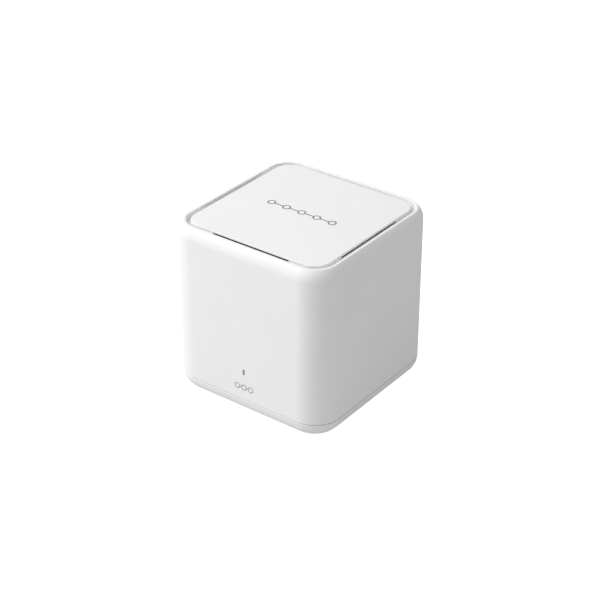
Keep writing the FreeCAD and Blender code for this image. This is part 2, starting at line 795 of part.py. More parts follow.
def reset_key():
    """The recessed key, and the side-acting switch behind it with its stem and snap dome."""
    x = "key_place"
    z = "board_top + key_axis"
    shaft = rod(x, "key_back", z, "key_radius", "key_face - key_back", axis="y")
    flange = rod(x, "key_back - key_flange_depth", z, "key_flange", "key_flange_depth", axis="y")
    dish = rod(x, "key_face - key_dish", z, "key_radius / 2", "key_dish", axis="y",
               far_radius="key_radius * 0.7")
    node(cut(fuse(shaft, flange), dish), "reset_button")
    back = "switch_face - switch_depth"
    low = (f"{x} - switch_width / 2", back, "board_top")
    high = (f"{x} + switch_width / 2", "switch_face", "board_top + switch_height")
    floor = "switch_face - switch_bore_depth"
    bore = rod(x, floor, z, "stem_bore", "switch_bore_depth + overcut", axis="y")
    node(cut(box(low, high), bore), "reset_switch_body")
    stem_length = "key_back - key_flange_depth - stem_back"
    node(rod(x, "stem_back", z, "stem_radius", stem_length, axis="y"), "reset_switch_stem")
    dome = rod(x, floor, z, "dome_radius", "dome_height", axis="y", far_radius="dome_radius / 2")
    room = rod(x, f"{floor} - dome_sheet", z, "dome_radius", "dome_height", axis="y",
               far_radius="dome_radius / 2")
    node(cut(dome, room), "reset_switch_dome")


def light_guide():
    """The clear bar that carries the lamp's light up and out through the slit in the front."""
    body = new_body("light_guide")
    face = "-width / 2"
    stub = sketch_on(body, "XZ_Plane", "0", face, "light_height")
    head_width = "light_slit_width - 2 * light_gap"
    rounded_rectangle(stub, head_width, "light_slit_height - 2 * light_gap",
                      "light_slit_radius - light_gap")
    extrude(body, stub, "wall + root", backwards=True)
    bar = sketch_on(body, "XY_Plane", "0", "(guide_back - width / 2 + wall) / 2", "guide_low")
    rectangle(bar, "guide_width", "guide_back + width / 2 - wall")
    extrude(body, bar, "guide_high - guide_low")


# ---- antennas ----

def antenna_frame():
    """A square plastic tube on four legs round the screw columns, which carries the antennas."""
    body = new_body("antenna_frame")
    tube = sketch_on(body, "XY_Plane", "0", "0", "board_top")
    rounded_rectangle(tube, "2 * frame_half", "2 * frame_half", "frame_radius")
    inner = "2 * (frame_half - frame_wall)"
    rounded_rectangle(tube, inner, inner, "frame_radius - frame_wall")
    extrude(body, tube, "frame_high - board_top")
    below = "frame_low - board_top"
    middle = "(frame_low + board_top) / 2"
    open_ends = sketch_on(body, "XZ_Plane", "0", "-width / 2", middle)
    rectangle(open_ends, inner, below)
    extrude(body, open_ends, "width", cut=True)
    between = sketch_on(body, "YZ_Plane", "width / 2", "0", middle)
    rectangle(between, "2 * leg_inner", below)
    extrude(body, between, "width", cut=True)
    for side in ("", "-"):
        beside = sketch_on(body, "YZ_Plane", "width / 2", f"{side}(leg_outer + width / 4)", middle)
        rectangle(beside, "width / 2", below)
        extrude(body, beside, "width", cut=True)
    for plane, x, y in (("XZ_Plane", "0", "-width / 2"), ("YZ_Plane", "width / 2", "0")):
        window = sketch_on(body, plane, x, y, "frame_window_centre")
        rounded_rectangle(window, "frame_window", "frame_window_height", "frame_wall")
        extrude(body, window, "width", cut=True)
    for x, y in corners("frame_half - foot_tab / 2", "post_along"):
        tab = sketch_on(body, "XY_Plane", x, y, "board_top")
        rectangle(tab, "foot_tab", "leg_outer - leg_inner")
        extrude(body, tab, "foot_tab_thickness")
    for x, y in corners("post_across", "post_along"):
        hole = sketch_on(body, "XY_Plane", x, y, "board_top + foot_tab_thickness")
        circle(hole, "board_screw_way")
        extrude(body, hole, "foot_tab_thickness", cut=True)


def antennas():
    """Four upright boards on the frame's faces, each with a thin lead down to the main board."""
    half = "antenna_width / 2"
    low = "frame_high - antenna_height - antenna_drop"
    near = "frame_half"
    far = "frame_half + antenna_thickness"
    spans = {
        "front": ((f"-{half}", f"-({far})"), (half, f"-{near}")),
        "back": ((f"-{half}", near), (half, far)),
        "left": ((f"-({far})", f"-{half}"), (f"-{near}", half)),
        "right": ((near, f"-{half}"), (far, half)),
    }
    for name, (a, b) in spans.items():
        node(box((*a, low), (*b, f"{low} + antenna_height")), f"antenna_{name}")
    out = value(f"{far} + lead_radius")
    top = value("lead_top")
    end = value("board_top + plug_height")
    leads = []
    plugs = []
    for name, (along, (plug_x, plug_y), level) in LEADS.items():
        x, y = {"front": (along, -out), "back": (along, out),
                "left": (-out, along), "right": (out, along)}[name]
        points = [FreeCAD.Vector(*p) for p in ((x, y, top), (x, y, level),
                                               (plug_x, plug_y, level), (plug_x, plug_y, end))]
        lead = doc.addObject("Part::Feature", "Lead")
        lead.Shape = bent_tube(points, value("lead_radius"))
        lead.Placement = FreeCAD.Placement()
        leads.append(lead)
        plugs.append(rod(str(plug_x), str(plug_y), "board_top", "plug_radius", "plug_height"))
    node(group(*leads), "antenna_leads")
    node(group(*plugs), "antenna_plugs")


def bent_tube(points, radius):
    """A round tube along straight runs that are joined by tangent arcs."""
    edges = []
    start = points[0]
    for before, corner, after in zip(points, points[1:], points[2:]):
        into = (corner - before).normalize()
        out = (after - corner).normalize()
        reach = 0.45 * min((corner - before).Length, (after - corner).Length)
        first = corner - into * reach
        last = corner + out * reach
        # the arc's middle lies on the line from the corner to the arc's centre
        half_turn = into.getAngle(out) / 2
        bend = reach / math.tan(half_turn)
        inward = (out - into).normalize()
        middle = corner + inward * (bend / math.cos(half_turn) - bend)
        edges.append(Part.LineSegment(start, first).toShape())
        edges.append(Part.Arc(first, middle, last).toShape())
        start = last
    edges.append(Part.LineSegment(start, points[-1]).toShape())
    path = Part.Wire(edges)
    ring = Part.Wire(Part.makeCircle(radius, points[0], points[1] - points[0]))
    tube = path.makePipeShell([ring], True, False)
    expected = math.pi * radius ** 2 * path.Length
    if abs(tube.Volume / expected - 1) > 0.01:
        raise RuntimeError(f"lead of volume {tube.Volume}, expected {expected}")
    return tube


def write_parts():
    """Check every object and every sub-part's shape, then write one file for each sub-part."""
    doc.recompute()
    for item in doc.Objects:
        if "Invalid" in item.State or "Error" in item.State:
            raise RuntimeError(f"{item.Name} ({item.Label}) failed: {item.State}")
    for item in nodes:
        shape = item.Shape
        if shape.isNull() or not shape.isValid() or not shape.Solids:
            raise RuntimeError(f"{item.Label} has no sound solid")
    os.makedirs("parts", exist_ok=True)
    for item in nodes:
        item.Shape.exportStep(f"parts/{item.Label}.step")
        print(f"{item.Label}: {len(item.Shape.Solids)} solid(s), {item.Shape.Volume:.1f} mm3")


outer_shell()
base_cover()
top_plate()
feet_and_fasteners()
rating_label()
main_board()
chips()
shield_cans()
heatsink()
ethernet_jack("left")
ethernet_jack("right")
power_jack()
reset_key()
light_guide()
antenna_frame()
antennas()
write_parts()
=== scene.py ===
import json
import math

import bmesh
import bpy
from bpy.props import FloatProperty, FloatVectorProperty, IntProperty, PointerProperty
from mathutils import Matrix, Vector


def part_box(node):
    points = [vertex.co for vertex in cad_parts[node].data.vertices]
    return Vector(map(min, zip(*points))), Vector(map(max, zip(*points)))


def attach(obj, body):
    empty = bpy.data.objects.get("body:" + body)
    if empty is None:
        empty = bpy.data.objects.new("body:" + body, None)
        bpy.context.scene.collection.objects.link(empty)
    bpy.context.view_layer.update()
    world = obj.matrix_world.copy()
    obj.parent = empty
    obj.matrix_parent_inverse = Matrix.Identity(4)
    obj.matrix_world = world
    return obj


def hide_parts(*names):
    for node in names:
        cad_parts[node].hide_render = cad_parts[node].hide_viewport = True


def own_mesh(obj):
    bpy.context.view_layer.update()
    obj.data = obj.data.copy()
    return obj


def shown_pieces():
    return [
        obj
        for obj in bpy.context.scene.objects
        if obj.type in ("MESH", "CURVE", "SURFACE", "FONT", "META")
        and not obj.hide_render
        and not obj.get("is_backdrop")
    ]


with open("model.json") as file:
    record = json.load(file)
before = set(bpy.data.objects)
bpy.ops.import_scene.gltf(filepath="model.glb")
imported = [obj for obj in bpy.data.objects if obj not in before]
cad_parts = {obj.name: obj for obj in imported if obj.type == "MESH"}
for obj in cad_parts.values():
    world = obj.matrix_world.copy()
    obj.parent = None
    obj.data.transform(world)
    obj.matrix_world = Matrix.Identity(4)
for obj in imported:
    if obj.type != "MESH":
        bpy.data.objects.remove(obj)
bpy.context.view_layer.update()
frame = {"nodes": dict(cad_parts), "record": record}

bl_info = {
    "name": "Cube mesh router",
    "version": (1, 0, 0),
    "blender": (4, 5, 0),
    "location": "View3D > Sidebar > Router",
    "description": "Builds the visible pieces of a cube-shaped mesh router round its frame",
    "category": "Object",
}

MM = 0.001
HOUSING = "housing"
KEY_BODY = "reset_key"

# ---- places taken from the frame ----

def corners(name):
    """The lowest and the highest corner of one of the frame's nodes."""
    return [Vector(corner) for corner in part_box(name)]


def middle_of(low, high):
    """(x, z) of the line along Y through the middle of a box."""
    return ((low.x + high.x) / 2, (low.z + high.z) / 2)


SHELL_LOW, SHELL_HIGH = corners("outer_shell")
BASE_LOW = corners("base_cover")[0]
PLATE_HIGH = corners("top_plate")[1]
GUIDE_LOW, GUIDE_HIGH = corners("light_guide")
KEY_LOW, KEY_HIGH = corners("reset_button")
FEET_LOW, FEET_HIGH = corners("rubber_feet")
LABEL_LOW, LABEL_HIGH = corners("rating_label")
POWER_LOW, POWER_HIGH = corners("power_jack_body")
PIN_LOW, PIN_HIGH = corners("power_jack_pin")
POWER_AXIS = middle_of(PIN_LOW, PIN_HIGH)
KEY_AXIS = middle_of(KEY_LOW, KEY_HIGH)
BOARD_TOP = corners("main_board")[1].z
HALF = SHELL_HIGH.x
TOP = SHELL_HIGH.z
# the moulded faces stand back by a print's thickness, so that the print stays inside the box
FACE = HALF - 0.01 * MM

# ---- places that two pieces share ----

SLIT_HEIGHT = 24 * MM
INMOST = 31 * MM
FOOT_RADIUS = 5.5 * MM
SOCKET_FLOOR = BOARD_TOP + 4.3 * MM


def length(name, description, default_mm):
    """A length that a user may change, in millimetres here and in metres in Blender."""
    return FloatProperty(name=name, description=description, default=default_mm * MM,
                         subtype="DISTANCE", unit="LENGTH", precision=5)


def colour(name, description, default):
    return FloatVectorProperty(name=name, description=description, default=default,
                               subtype="COLOR", min=0, max=1, size=3)


class RouterEnclosure(bpy.types.PropertyGroup):
    """Sizes of the white enclosure."""

    corner_radius: length("Corner radius", "Radius of the upright edges", 14)
    top_round: length("Top rounding", "Radius of the rounding that runs up to the lip", 8)
    lip_outer: length("Lip outside", "Half width of the lip's outer edge", 41.5)
    lip_inner: length("Lip inside", "Half width of the lip's inner edge", 40.1)
    groove_depth: length("Groove depth", "Depth of the gap round the top plate", 2)
    wall: length("Wall", "Thickness of the shell", 2)
    base_round: length("Base rounding", "Radius of the rounding under the seam", 7.5)
    base_wall: length("Base wall", "Thickness of the base cover", 2.2)
    tongue_wall: length("Tongue", "Thickness of the base cover's inner tongue", 1.2)
    edge_soft: length("Edge softness", "Radius of the small moulded edges", 0.25)
    plate_half: length("Plate half width", "Half the width of the top plate", 38)
    plate_thickness: length("Plate thickness", "Thickness of the top plate's edge", 0.95)
    plate_edge: length("Plate edge", "Rounding of the top plate's upper edge", 0.3)
    vent_length: length("Air gap length", "Open length under each side of the plate", 42.5)
    vent_inner: length("Vent inside", "Half width to the inner side of the air slots", 33.6)
    vent_outer: length("Vent outside", "Half width to the outer side of the air slots", 37.5)
    corner_steps: IntProperty(name="Corner steps", description="Facets in each upright edge",
                              default=28, min=4, max=64)


class RouterRear(bpy.types.PropertyGroup):
    """Sizes of what shows at the back."""

    panel_width: length("Panel width", "Width of the sunk socket panel", 62)
    panel_height: length("Panel height", "Height of the sunk socket panel", 21)
    panel_centre: length("Panel centre", "Height of the panel's centre", 22.4)
    panel_depth: length("Panel depth", "How far the socket panel is sunk", 0.8)
    panel_radius: length("Panel corners", "Corner radius of the socket panel", 3)
    window_gap: length("Window gap", "Gap between a socket and the shell", 0.2)
    key_bore: length("Key bore", "Radius of the hole for the reset key", 1.8)
    collar: length("Collar", "Radius of the power inlet's collar", 4)
    bore: length("Bore", "Radius of the power inlet's bore", 3.1)
    bore_depth: length("Bore depth", "Depth of the power inlet's bore", 9.4)
    socket_width: length("Plug way width", "Width of a network socket's way", 11.9)
    socket_height: length("Plug way height", "Height of a network socket's way", 7)
    socket_depth: length("Plug way depth", "Depth of a network socket's way", 12.6)
    wire_pitch: length("Wire pitch", "Distance between neighbouring sprung wires", 1.02)
    wire_radius: length("Wire radius", "Radius of a sprung wire", 0.17)


class RouterFinish(bpy.types.PropertyGroup):
    """Colours of the materials that show from outside."""

    shell: colour("Shell", "Moulded white of the enclosure", (0.86, 0.86, 0.855))
    plate: colour("Plate", "Moulded white of the top plate", (0.86, 0.86, 0.86))
    ink: colour("Ink", "Grey of the printed marks", (0.25, 0.25, 0.26))
    guide: colour("Light guide", "Smoked light guide, unlit", (0.25, 0.255, 0.26))
    rubber: colour("Rubber", "Grey of the feet", (0.36, 0.36, 0.355))
    label: colour("Label", "Film of the blank label", (0.62, 0.63, 0.64))
    insert: colour("Insert", "Black of the socket inserts", (0.022, 0.022, 0.024))
    key: colour("Key", "Grey of the reset key", (0.36, 0.365, 0.37))


class RouterStage(bpy.types.PropertyGroup):
    """Camera and light."""

    azimuth: FloatProperty(name="Azimuth", description="Camera's turn round the router",
                           default=math.radians(37.0), subtype="ANGLE", unit="ROTATION")
    elevation: FloatProperty(name="Elevation", description="Camera's height above the horizon",
                             default=math.radians(30.5), subtype="ANGLE", unit="ROTATION")
    distance: length("Distance", "Camera's distance from its aim", 755)
    aim_across: length("Aim across", "Aim's shift to the camera's right", -0.75)
    aim_height: length("Aim height", "Height of the aim above the table", 41.7)
    lens: FloatProperty(name="Lens", description="Focal length on a 36 mm sensor", default=96.5,
                        unit="CAMERA")
    floor_glow: FloatProperty(name="Floor glow", description="Light that the sheet throws up",
                              default=0.22)
    sky: FloatProperty(name="Sky", description="Strength of the even light all round",
                       default=0.525)
    key_power: FloatProperty(name="Key power", description="Power of the large front light",
                             default=14.2, unit="POWER")
    top_power: FloatProperty(name="Top power", description="Power of the overhead light",
                             default=1.0, unit="POWER")


# ---- mesh helpers ----

def link(name, data):
    item = bpy.data.objects.new(name, data)
    bpy.context.scene.collection.objects.link(item)
    return item


def mesh_object(name, verts, faces):
    """A smooth closed mesh with outward faces."""
    mesh = bpy.data.meshes.new(name)
    mesh.from_pydata(verts, [], faces)
    tidy_mesh(mesh)
    return link(name, mesh)


def tidy_mesh(mesh):
    """Close the open loops, merge doubles and turn every face outward."""
    work = bmesh.new()
    work.from_mesh(mesh)
    bmesh.ops.remove_doubles(work, verts=work.verts, dist=1e-7)
    rims = [edge for edge in work.edges if len(edge.link_faces) == 1]
    if rims:
        bmesh.ops.holes_fill(work, edges=rims, sides=0)
    bmesh.ops.recalc_face_normals(work, faces=work.faces)
    for face in work.faces:
        face.smooth = True
    work.to_mesh(mesh)
    work.free()


def settle(item):
    """Turn an object's modifiers into its plain mesh."""
    depsgraph = bpy.context.evaluated_depsgraph_get()
    mesh = bpy.data.meshes.new_from_object(item.evaluated_get(depsgraph),
                                           preserve_all_data_layers=True, depsgraph=depsgraph)
    item.modifiers.clear()
    item.data = mesh
    return item


def discard(*items):
    for item in items:
        bpy.data.objects.remove(item)


def cut_away(item, cutters, edge=0.0, segments=3):
    """Cut the cutters out of a piece, soften the cut edges and even out its shading."""
    for turn, cutter in enumerate(cutters):
        step = item.modifiers.new(f"Cut {turn}", "BOOLEAN")
        step.operation = "DIFFERENCE"
        step.solver = "EXACT"
        step.object = cutter
    finish_edges(item, edge, segments=segments)
    discard(*cutters)
    return item


def weld(item, extra):
    """Add another solid to a piece."""
    step = item.modifiers.new("Weld", "BOOLEAN")
    step.operation = "UNION"
    step.solver = "EXACT"
    step.object = extra


def finish_edges(item, edge=0.0, angle=40, segments=3):
    """Soften the sharp edges, then weight the normals so that flat walls shade flat."""
    if edge:
        soft = item.modifiers.new("Soft edges", "BEVEL")
        soft.width = edge
        soft.segments = segments
        soft.limit_method = "ANGLE"
        soft.angle_limit = math.radians(angle)
        soft.miter_outer = "MITER_ARC"
    even = item.modifiers.new("Even shading", "WEIGHTED_NORMAL")
    even.keep_sharp = True
    even.weight = 100
    return settle(item)


def rounded_outline(width, height, radius, steps=8):
    """The corner points of a rectangle with quarter-circle corners, anticlockwise."""
    points = []
    w = width / 2 - radius
    d = height / 2 - radius
    for turn, (x, y) in enumerate(((w, d), (-w, d), (-w, -d), (w, -d))):
        for step in range(steps + 1):
            angle = math.pi / 2 * (turn + step / steps)
            points.append((x + radius * math.cos(angle), y + radius * math.sin(angle)))
    return points


def prism(name, outline, centre, low, high, axis="y"):
    """A straight bar of the given outline between two levels of one axis."""
    order = {"y": (0, 2, 1), "z": (0, 1, 2)}[axis]
    verts = []
    for level in (low, high):
        for u, v in outline:
            flat = (u + centre[0], v + centre[1], level)
            verts.append([flat[i] for i in order])
    count = len(outline)
    faces = [[i, (i + 1) % count, (i + 1) % count + count, i + count] for i in range(count)]
    faces += [list(range(count)), list(range(count, 2 * count))]
    return mesh_object(name, verts, faces)


def rod(name, radius, centre, low, high, steps=12, axis="y"):
    """A round bar; steps are the facets in a quarter turn."""
    outline = rounded_outline(2 * radius, 2 * radius, radius, steps)
    return prism(name, outline, centre, low, high, axis)


def block(name, low, high):
    """A plain box between two corners."""
    outline = [(low[0], low[1]), (high[0], low[1]), (high[0], high[1]), (low[0], high[1])]
    return prism(name, outline, (0, 0), low[2], high[2], axis="z")


def turned(name, profile, centre, steps=56):
    """A closed shape turned about a line along Y: the profile is (radius, y) from end to end."""
    verts = []
    for radius, y in profile:
        for step in range(steps):
            angle = 2 * math.pi * step / steps
            x = centre[0] + radius * math.cos(angle)
            verts.append((x, y, centre[1] + radius * math.sin(angle)))
    faces = []
    for row in range(len(profile) - 1):
        for step in range(steps):
            after = (step + 1) % steps
            near = row * steps
            far = near + steps
            faces.append([near + step, near + after, far + after, far + step])
    return mesh_object(name, verts, faces)


def softened(points, steps=5, closed=True):
    """A section's points (across, up, radius) with each corner turned into an arc."""
    result = []
    count = len(points)
    for i, (x, y, radius) in enumerate(points):
        corner = Vector((x, y))
        if not radius or (not closed and i in (0, count - 1)):
            result.append(corner)
            continue
        before = Vector(points[i - 1][:2]) - corner
        after = Vector(points[(i + 1) % count][:2]) - corner
        half = before.angle(after) / 2
        reach = radius / math.tan(half)
        bisector = (before.normalized() + after.normalized()).normalized()
        centre = corner + bisector * radius / math.sin(half)
        first = corner + before.normalized() * reach - centre
        turn = first.angle_signed(corner + after.normalized() * reach - centre)
        for step in range(steps + 1):
            # a positive signed angle is clockwise, and so is a negative rotation
            spin = Matrix.Rotation(-turn * step / steps, 2)
            result.append(centre + spin @ first)
    return result


# ---- node tree helpers ----

def geometry_tree(name, inputs):
    """An empty geometry tree with named inputs, its input and output nodes."""
    tree = bpy.data.node_groups.new(name, "GeometryNodeTree")
    for label, kind, default in inputs:
        socket = tree.interface.new_socket(label, in_out="INPUT", socket_type=f"NodeSocket{kind}")
        if default is not None:
            socket.default_value = default
    tree.interface.new_socket("Geometry", in_out="OUTPUT", socket_type="NodeSocketGeometry")
    start = tree.nodes.new("NodeGroupInput")
    end = tree.nodes.new("NodeGroupOutput")
    return tree, start, end


def node(tree, kind, settings=None, **inputs):
    """Add a node. An input is a plain value or another node's output socket."""
    item = tree.nodes.new(kind)
    for name, setting in (settings or {}).items():
        setattr(item, name, setting)
    for name, source in inputs.items():
        label = name.replace("_", " ")
        socket = next(s for s in item.inputs if s.name == label and s.enabled)
        if isinstance(source, bpy.types.NodeSocket):
            tree.links.new(source, socket)
        else:
            socket.default_value = source
    return item


def close_tree(tree, start, end, geometry):
    """End a tree in Realize Instances and Set Material."""
    real = node(tree, "GeometryNodeRealizeInstances", Geometry=geometry)
    paint = node(tree, "GeometryNodeSetMaterial", Geometry=real.outputs[0],
                 Material=start.outputs["Material"])
    tree.links.new(paint.outputs[0], end.inputs[0])


def grow(name, tree, **values):
    """An object whose mesh the tree makes, turned into a plain mesh."""
    item = link(name, bpy.data.meshes.new(name))
    modifier = item.modifiers.new("Nodes", "NODES")
    modifier.node_group = tree
    for socket in tree.interface.items_tree:
        key = socket.name.lower().replace(" ", "_")
        if socket.in_out == "INPUT" and key in values:
            modifier[socket.identifier] = values[key]
    return settle(item)


def swept_ring_tree():
    """Sweeps a section object round a square with rounded corners."""
    tree, start, end = geometry_tree("Swept ring", (
        ("Section", "Object", None), ("Width", "Float", 2 * HALF),
        ("Corner radius", "Float", 14 * MM), ("Steps", "Int", 28), ("Material", "Material", None)))
    square = node(tree, "GeometryNodeCurvePrimitiveQuadrilateral",
                  Width=start.outputs["Width"], Height=start.outputs["Width"])
    rounded = node(tree, "GeometryNodeFilletCurve", {"mode": "POLY"}, Curve=square.outputs[0],
                   Count=start.outputs["Steps"], Radius=start.outputs["Corner radius"])
    upright = node(tree, "GeometryNodeSetCurveNormal", {"mode": "Z_UP"}, Curve=rounded.outputs[0])
    section = node(tree, "GeometryNodeObjectInfo", Object=start.outputs["Section"])
    sweep = node(tree, "GeometryNodeCurveToMesh", Curve=upright.outputs[0])
    tree.links.new(section.outputs["Geometry"], sweep.inputs["Profile Curve"])
    close_tree(tree, start, end, sweep.outputs[0])
    return tree


def swept_ring(name, points, closed=True):
    """A ring with the given section of (half width, height, radius) points round the router."""
    shape = bpy.context.scene.router_enclosure
    curve = bpy.data.curves.new(name + "_section", "CURVE")
    spline = curve.splines.new("POLY")
    outline = softened(points, closed=closed)
    spline.points.add(len(outline) - 1)
    for point, (half, height) in zip(spline.points, outline):
        point.co = (half - HALF, -height, 0, 1)
    spline.use_cyclic_u = closed
    section = link(name + "_section", curve)
    tree = bpy.data.node_groups.get("Swept ring") or swept_ring_tree()
    ring = grow(name, tree, section=section, width=2 * HALF, corner_radius=shape.corner_radius,
                steps=shape.corner_steps, material=None)
    discard(section)
    tidy_mesh(ring.data)
    return ring


# ---- material helpers ----

def material(name):
    """A new node material: the material, its tree and its Principled shader."""
    paint = bpy.data.materials.get(name)
    if paint:
        return paint, None, None
    paint = bpy.data.materials.new(name)
    paint.use_nodes = True
    tree = paint.node_tree
    shader = tree.nodes["Principled BSDF"]
    return paint, tree, shader


def object_point(tree):
    return node(tree, "ShaderNodeTexCoord").outputs["Object"]


def ramp_between(tree, source, low, high):
    """Mix two colours by a grey pattern."""
    ramp = node(tree, "ShaderNodeValToRGB", Fac=source)
    for stop, place, tone in zip(ramp.color_ramp.elements, (0.3, 0.7), (low, high)):
        stop.position = place
        stop.color = (*tone, 1)
    return ramp.outputs["Color"]


def vary_gloss(tree, shader, pattern, low, high):
    """Let the roughness follow a grey pattern."""
    gloss = node(tree, "ShaderNodeMapRange", Value=pattern)
    gloss.inputs["To Min"].default_value = low
    gloss.inputs["To Max"].default_value = high
    tree.links.new(gloss.outputs["Result"], shader.inputs["Roughness"])


def raise_grain(tree, shader, height, strength, depth):
    """Raise the surface by a grey pattern; the depth is in millimetres."""
    bump = node(tree, "ShaderNodeBump", Height=height, Strength=strength, Distance=depth * MM)
    tree.links.new(bump.outputs["Normal"], shader.inputs["Normal"])


def shade(tone, factor):
    return tuple(min(1.0, channel * factor) for channel in tone)


def moulded(name, tone, roughness=0.45, grain=2600, depth=0.012, coat=0.0, mottle=0.012):
    """Injection-moulded plastic: spark-eroded grain, faint flow mottling and uneven gloss."""
    paint, tree, shader = material(name)
    if not tree:
        return paint
    point = object_point(tree)
    flow = node(tree, "ShaderNodeTexNoise", Vector=point, Scale=38.0, Detail=3.0, Roughness=0.55)
    base = ramp_between(tree, flow.outputs["Fac"], shade(tone, 1 - mottle), shade(tone, 1 + mottle))
    tree.links.new(base, shader.inputs["Base Color"])
    fine = node(tree, "ShaderNodeTexNoise", Vector=point, Scale=grain, Detail=2.0, Roughness=0.6)
    cells = node(tree, "ShaderNodeTexVoronoi", Vector=point, Scale=grain * 0.55)
    both = node(tree, "ShaderNodeMath", {"operation": "MULTIPLY_ADD"})
    tree.links.new(cells.outputs["Distance"], both.inputs[0])
    both.inputs[1].default_value = 0.45
    tree.links.new(fine.outputs["Fac"], both.inputs[2])
    raise_grain(tree, shader, both.outputs[0], 0.5, depth)
    vary_gloss(tree, shader, flow.outputs["Fac"], roughness - 0.04, roughness + 0.04)
    shader.inputs["Specular IOR Level"].default_value = 0.35
    shader.inputs["Coat Weight"].default_value = coat
    return paint


def metal(name, tone, roughness=0.3, stretch=(1, 1, 1), grain=900, depth=0.004):
    """Rolled, drawn or plated metal: brushed streaks along one way and slight tarnish."""
    paint, tree, shader = material(name)
    if not tree:
        return paint
    point = object_point(tree)
    along = node(tree, "ShaderNodeMapping", Vector=point, Scale=stretch)
    streak = node(tree, "ShaderNodeTexNoise", Vector=along.outputs[0], Scale=grain, Detail=4.0)
    patch = node(tree, "ShaderNodeTexNoise", Vector=point, Scale=140.0, Detail=3.0)
    base = ramp_between(tree, patch.outputs["Fac"], shade(tone, 0.9), shade(tone, 1.05))
    tree.links.new(base, shader.inputs["Base Color"])
    vary_gloss(tree, shader, streak.outputs["Fac"], roughness * 0.8, roughness * 1.3)
    raise_grain(tree, shader, streak.outputs["Fac"], 0.35, depth)
    shader.inputs["Metallic"].default_value = 1.0
    return paint


def laminate(name, tone, track):
    """A circuit board: solder mask over faint copper tracks laid on a square raster."""
    paint, tree, shader = material(name)
    if not tree:
        return paint
    point = object_point(tree)
    tracks = node(tree, "ShaderNodeTexBrick", {"offset": 0.37, "squash": 0.6}, Vector=point,
                  Scale=260.0, Mortar_Size=0.06)
    tracks.inputs["Color1"].default_value = (*tone, 1)
    tracks.inputs["Color2"].default_value = (*shade(tone, 0.8), 1)
    tracks.inputs["Mortar"].default_value = (*track, 1)
    tree.links.new(tracks.outputs["Color"], shader.inputs["Base Color"])
    weave = node(tree, "ShaderNodeTexNoise", Vector=point, Scale=1800.0)
    raise_grain(tree, shader, weave.outputs["Fac"], 0.2, 0.01)
    shader.inputs["Roughness"].default_value = 0.32
    shader.inputs["Coat Weight"].default_value = 0.4
    return paint


def wear(item, paint):
    """Give a piece one material."""
    item.data.materials.clear()
    item.data.materials.append(paint)


def hand_over(item, paint, slot, *nodes, body=HOUSING):
    """Paint a finished piece, seat it on its body and let it stand for its frame nodes."""
    wear(item, paint)
    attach(item, body)
    if nodes:
        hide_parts(*nodes)


def bright_to_camera(tree, otherwise):
    """1 where the camera looks straight at a surface, and another strength for all other light."""
    seen = node(tree, "ShaderNodeLightPath")
    glow = node(tree, "ShaderNodeMapRange", Value=seen.outputs["Is Camera Ray"])
    glow.inputs["To Min"].default_value = otherwise
    glow.inputs["To Max"].default_value = 1.0
    return glow.outputs["Result"]


def shell_paint():
    finish = bpy.context.scene.router_finish
    return moulded("Moulded white shell", tuple(finish.shell), roughness=0.58)


def insert_paint():
    finish = bpy.context.scene.router_finish
    return moulded("Black socket insert", tuple(finish.insert), roughness=0.5, mottle=0.08)


def tin():
    return metal("Tin-plated sheet", (0.66, 0.65, 0.63), roughness=0.28, stretch=(1, 8, 1))


def gold():
    return metal("Gold-plated wire", (0.83, 0.6, 0.25), roughness=0.2, stretch=(6, 1, 6))


def nickel():
    return metal("Nickel-plated pin", (0.72, 0.7, 0.66), roughness=0.16, stretch=(1, 4, 1))


# ---- operators ----

